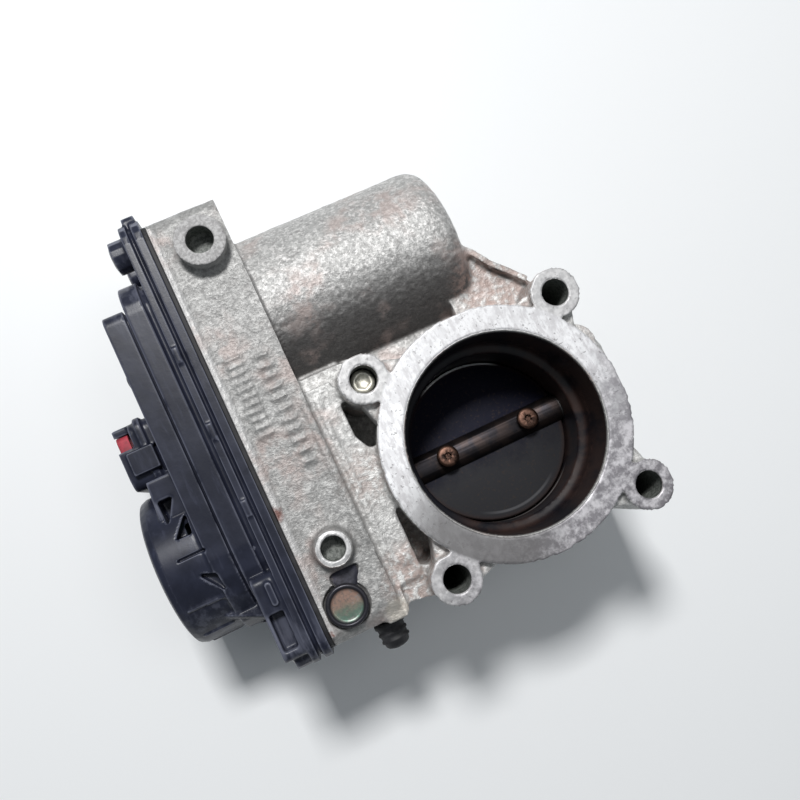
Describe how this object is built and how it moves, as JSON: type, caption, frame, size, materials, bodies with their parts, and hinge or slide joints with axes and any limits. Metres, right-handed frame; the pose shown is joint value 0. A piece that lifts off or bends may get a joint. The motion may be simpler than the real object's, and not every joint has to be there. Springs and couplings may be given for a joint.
{
  "type": "throttle body",
  "caption": "Electronic throttle body: cast housing with a round bore, butterfly plate on a shaft, gear tray with motor barrel, and a black plastic gear cover with sensor tower and connector.",
  "frame": {"origin": "under the middle of the whole part, in the plane of the engine-side flange face", "axes": "+Z along the bore from the engine side to the air-inlet side; +X along the throttle shaft, away from the plastic gear cover; +Y from the shaft towards the motor"},
  "size_m": [0.1278, 0.1248, 0.058],
  "materials": {
    "cast_aluminium": "sand-textured casting with machined flange faces, dirty from use",
    "black_plastic": "moulded glass-filled plastic, slightly worn",
    "gear_plastic": "moulded gear plastic",
    "steel": "turned steel",
    "spring_steel": "dark spring wire",
    "copper_plated": "coppery plated steel, tarnished",
    "brass": "plain brass",
    "dark_brass": "brass plate darkened by deposits",
    "magnet": "sintered ferrite, stood in for by cast iron",
    "black_rubber": "moulded rubber",
    "red_silicone": "silicone rubber",
    "circuit_board": "circuit board laminate",
    "copper_winding": "laminated steel with copper windings, stood in for by cast iron"
  },
  "bodies": {
    "housing": {"throttle_housing": "cast_aluminium", "gearbox_cover": "black_plastic", "cover_seal": "black_rubber", "connector_seal": "red_silicone", "drive_side_bearing": "steel", "far_side_bearing": "steel", "drive_side_seal": "black_rubber", "far_side_seal": "black_rubber", "shaft_end_plug": "steel", "return_spring": "spring_steel", "limp_home_spring": "spring_steel", "intermediate_gear_pin": "steel", "motor_can": "steel", "motor_wave_washer": "spring_steel", "motor_end_plate": "black_plastic", "motor_magnet_1": "magnet", "motor_magnet_2": "magnet", "motor_screw_1": "steel", "motor_screw_2": "steel", "motor_terminal_1": "brass", "motor_terminal_2": "brass", "sensor_board": "circuit_board", "stop_screw": "steel", "wall_plug": "copper_plated", "spigot_cap": "black_rubber", "flange_dowel": "steel", "cover_screw_1": "steel", "connector_pin_1": "brass", "cover_screw_2": "steel", "connector_pin_2": "brass", "cover_screw_3": "steel", "connector_pin_3": "brass", "cover_screw_4": "steel", "connector_pin_4": "brass", "cover_screw_5": "steel", "connector_pin_5": "brass", "cover_screw_6": "steel", "connector_pin_6": "brass"},
    "throttle": {"throttle_shaft": "steel", "throttle_plate": "dark_brass", "plate_screw_1": "copper_plated", "plate_screw_2": "copper_plated", "sector_gear": "gear_plastic", "sector_nut": "steel", "magnet_ring": "magnet"},
    "intermediate": {"intermediate_gear": "gear_plastic"},
    "motor_rotor": {"motor_pinion": "brass", "motor_shaft": "steel", "motor_armature": "copper_winding"}
  },
  "joints": [
    {"name": "throttle_turn", "type": "hinge", "parent": "housing", "child": "throttle", "pos_m": [0.0261, -0.0258, 0.0295], "axis": [-1, 0, 0], "range_deg": [-6, 80], "stiffness_Nm_per_rad": 0.08},
    {"name": "intermediate_turn", "type": "hinge", "parent": "housing", "child": "intermediate", "pos_m": [0.0261, 0.00048, 0.027], "axis": [-1, 0, 0], "range_deg": [-250.5, 19]},
    {"name": "motor_turn", "type": "hinge", "parent": "housing", "child": "motor_rotor", "pos_m": [0.0261, 0.02837, 0.0295], "axis": [-1, 0, 0], "range_deg": [-54.6, 722.8]}
  ],
  "couplings": [
    {"joint": "intermediate_turn", "follows": "throttle_turn", "ratio": -3.125},
    {"joint": "motor_turn", "follows": "throttle_turn", "ratio": 9.0278}
  ]
}
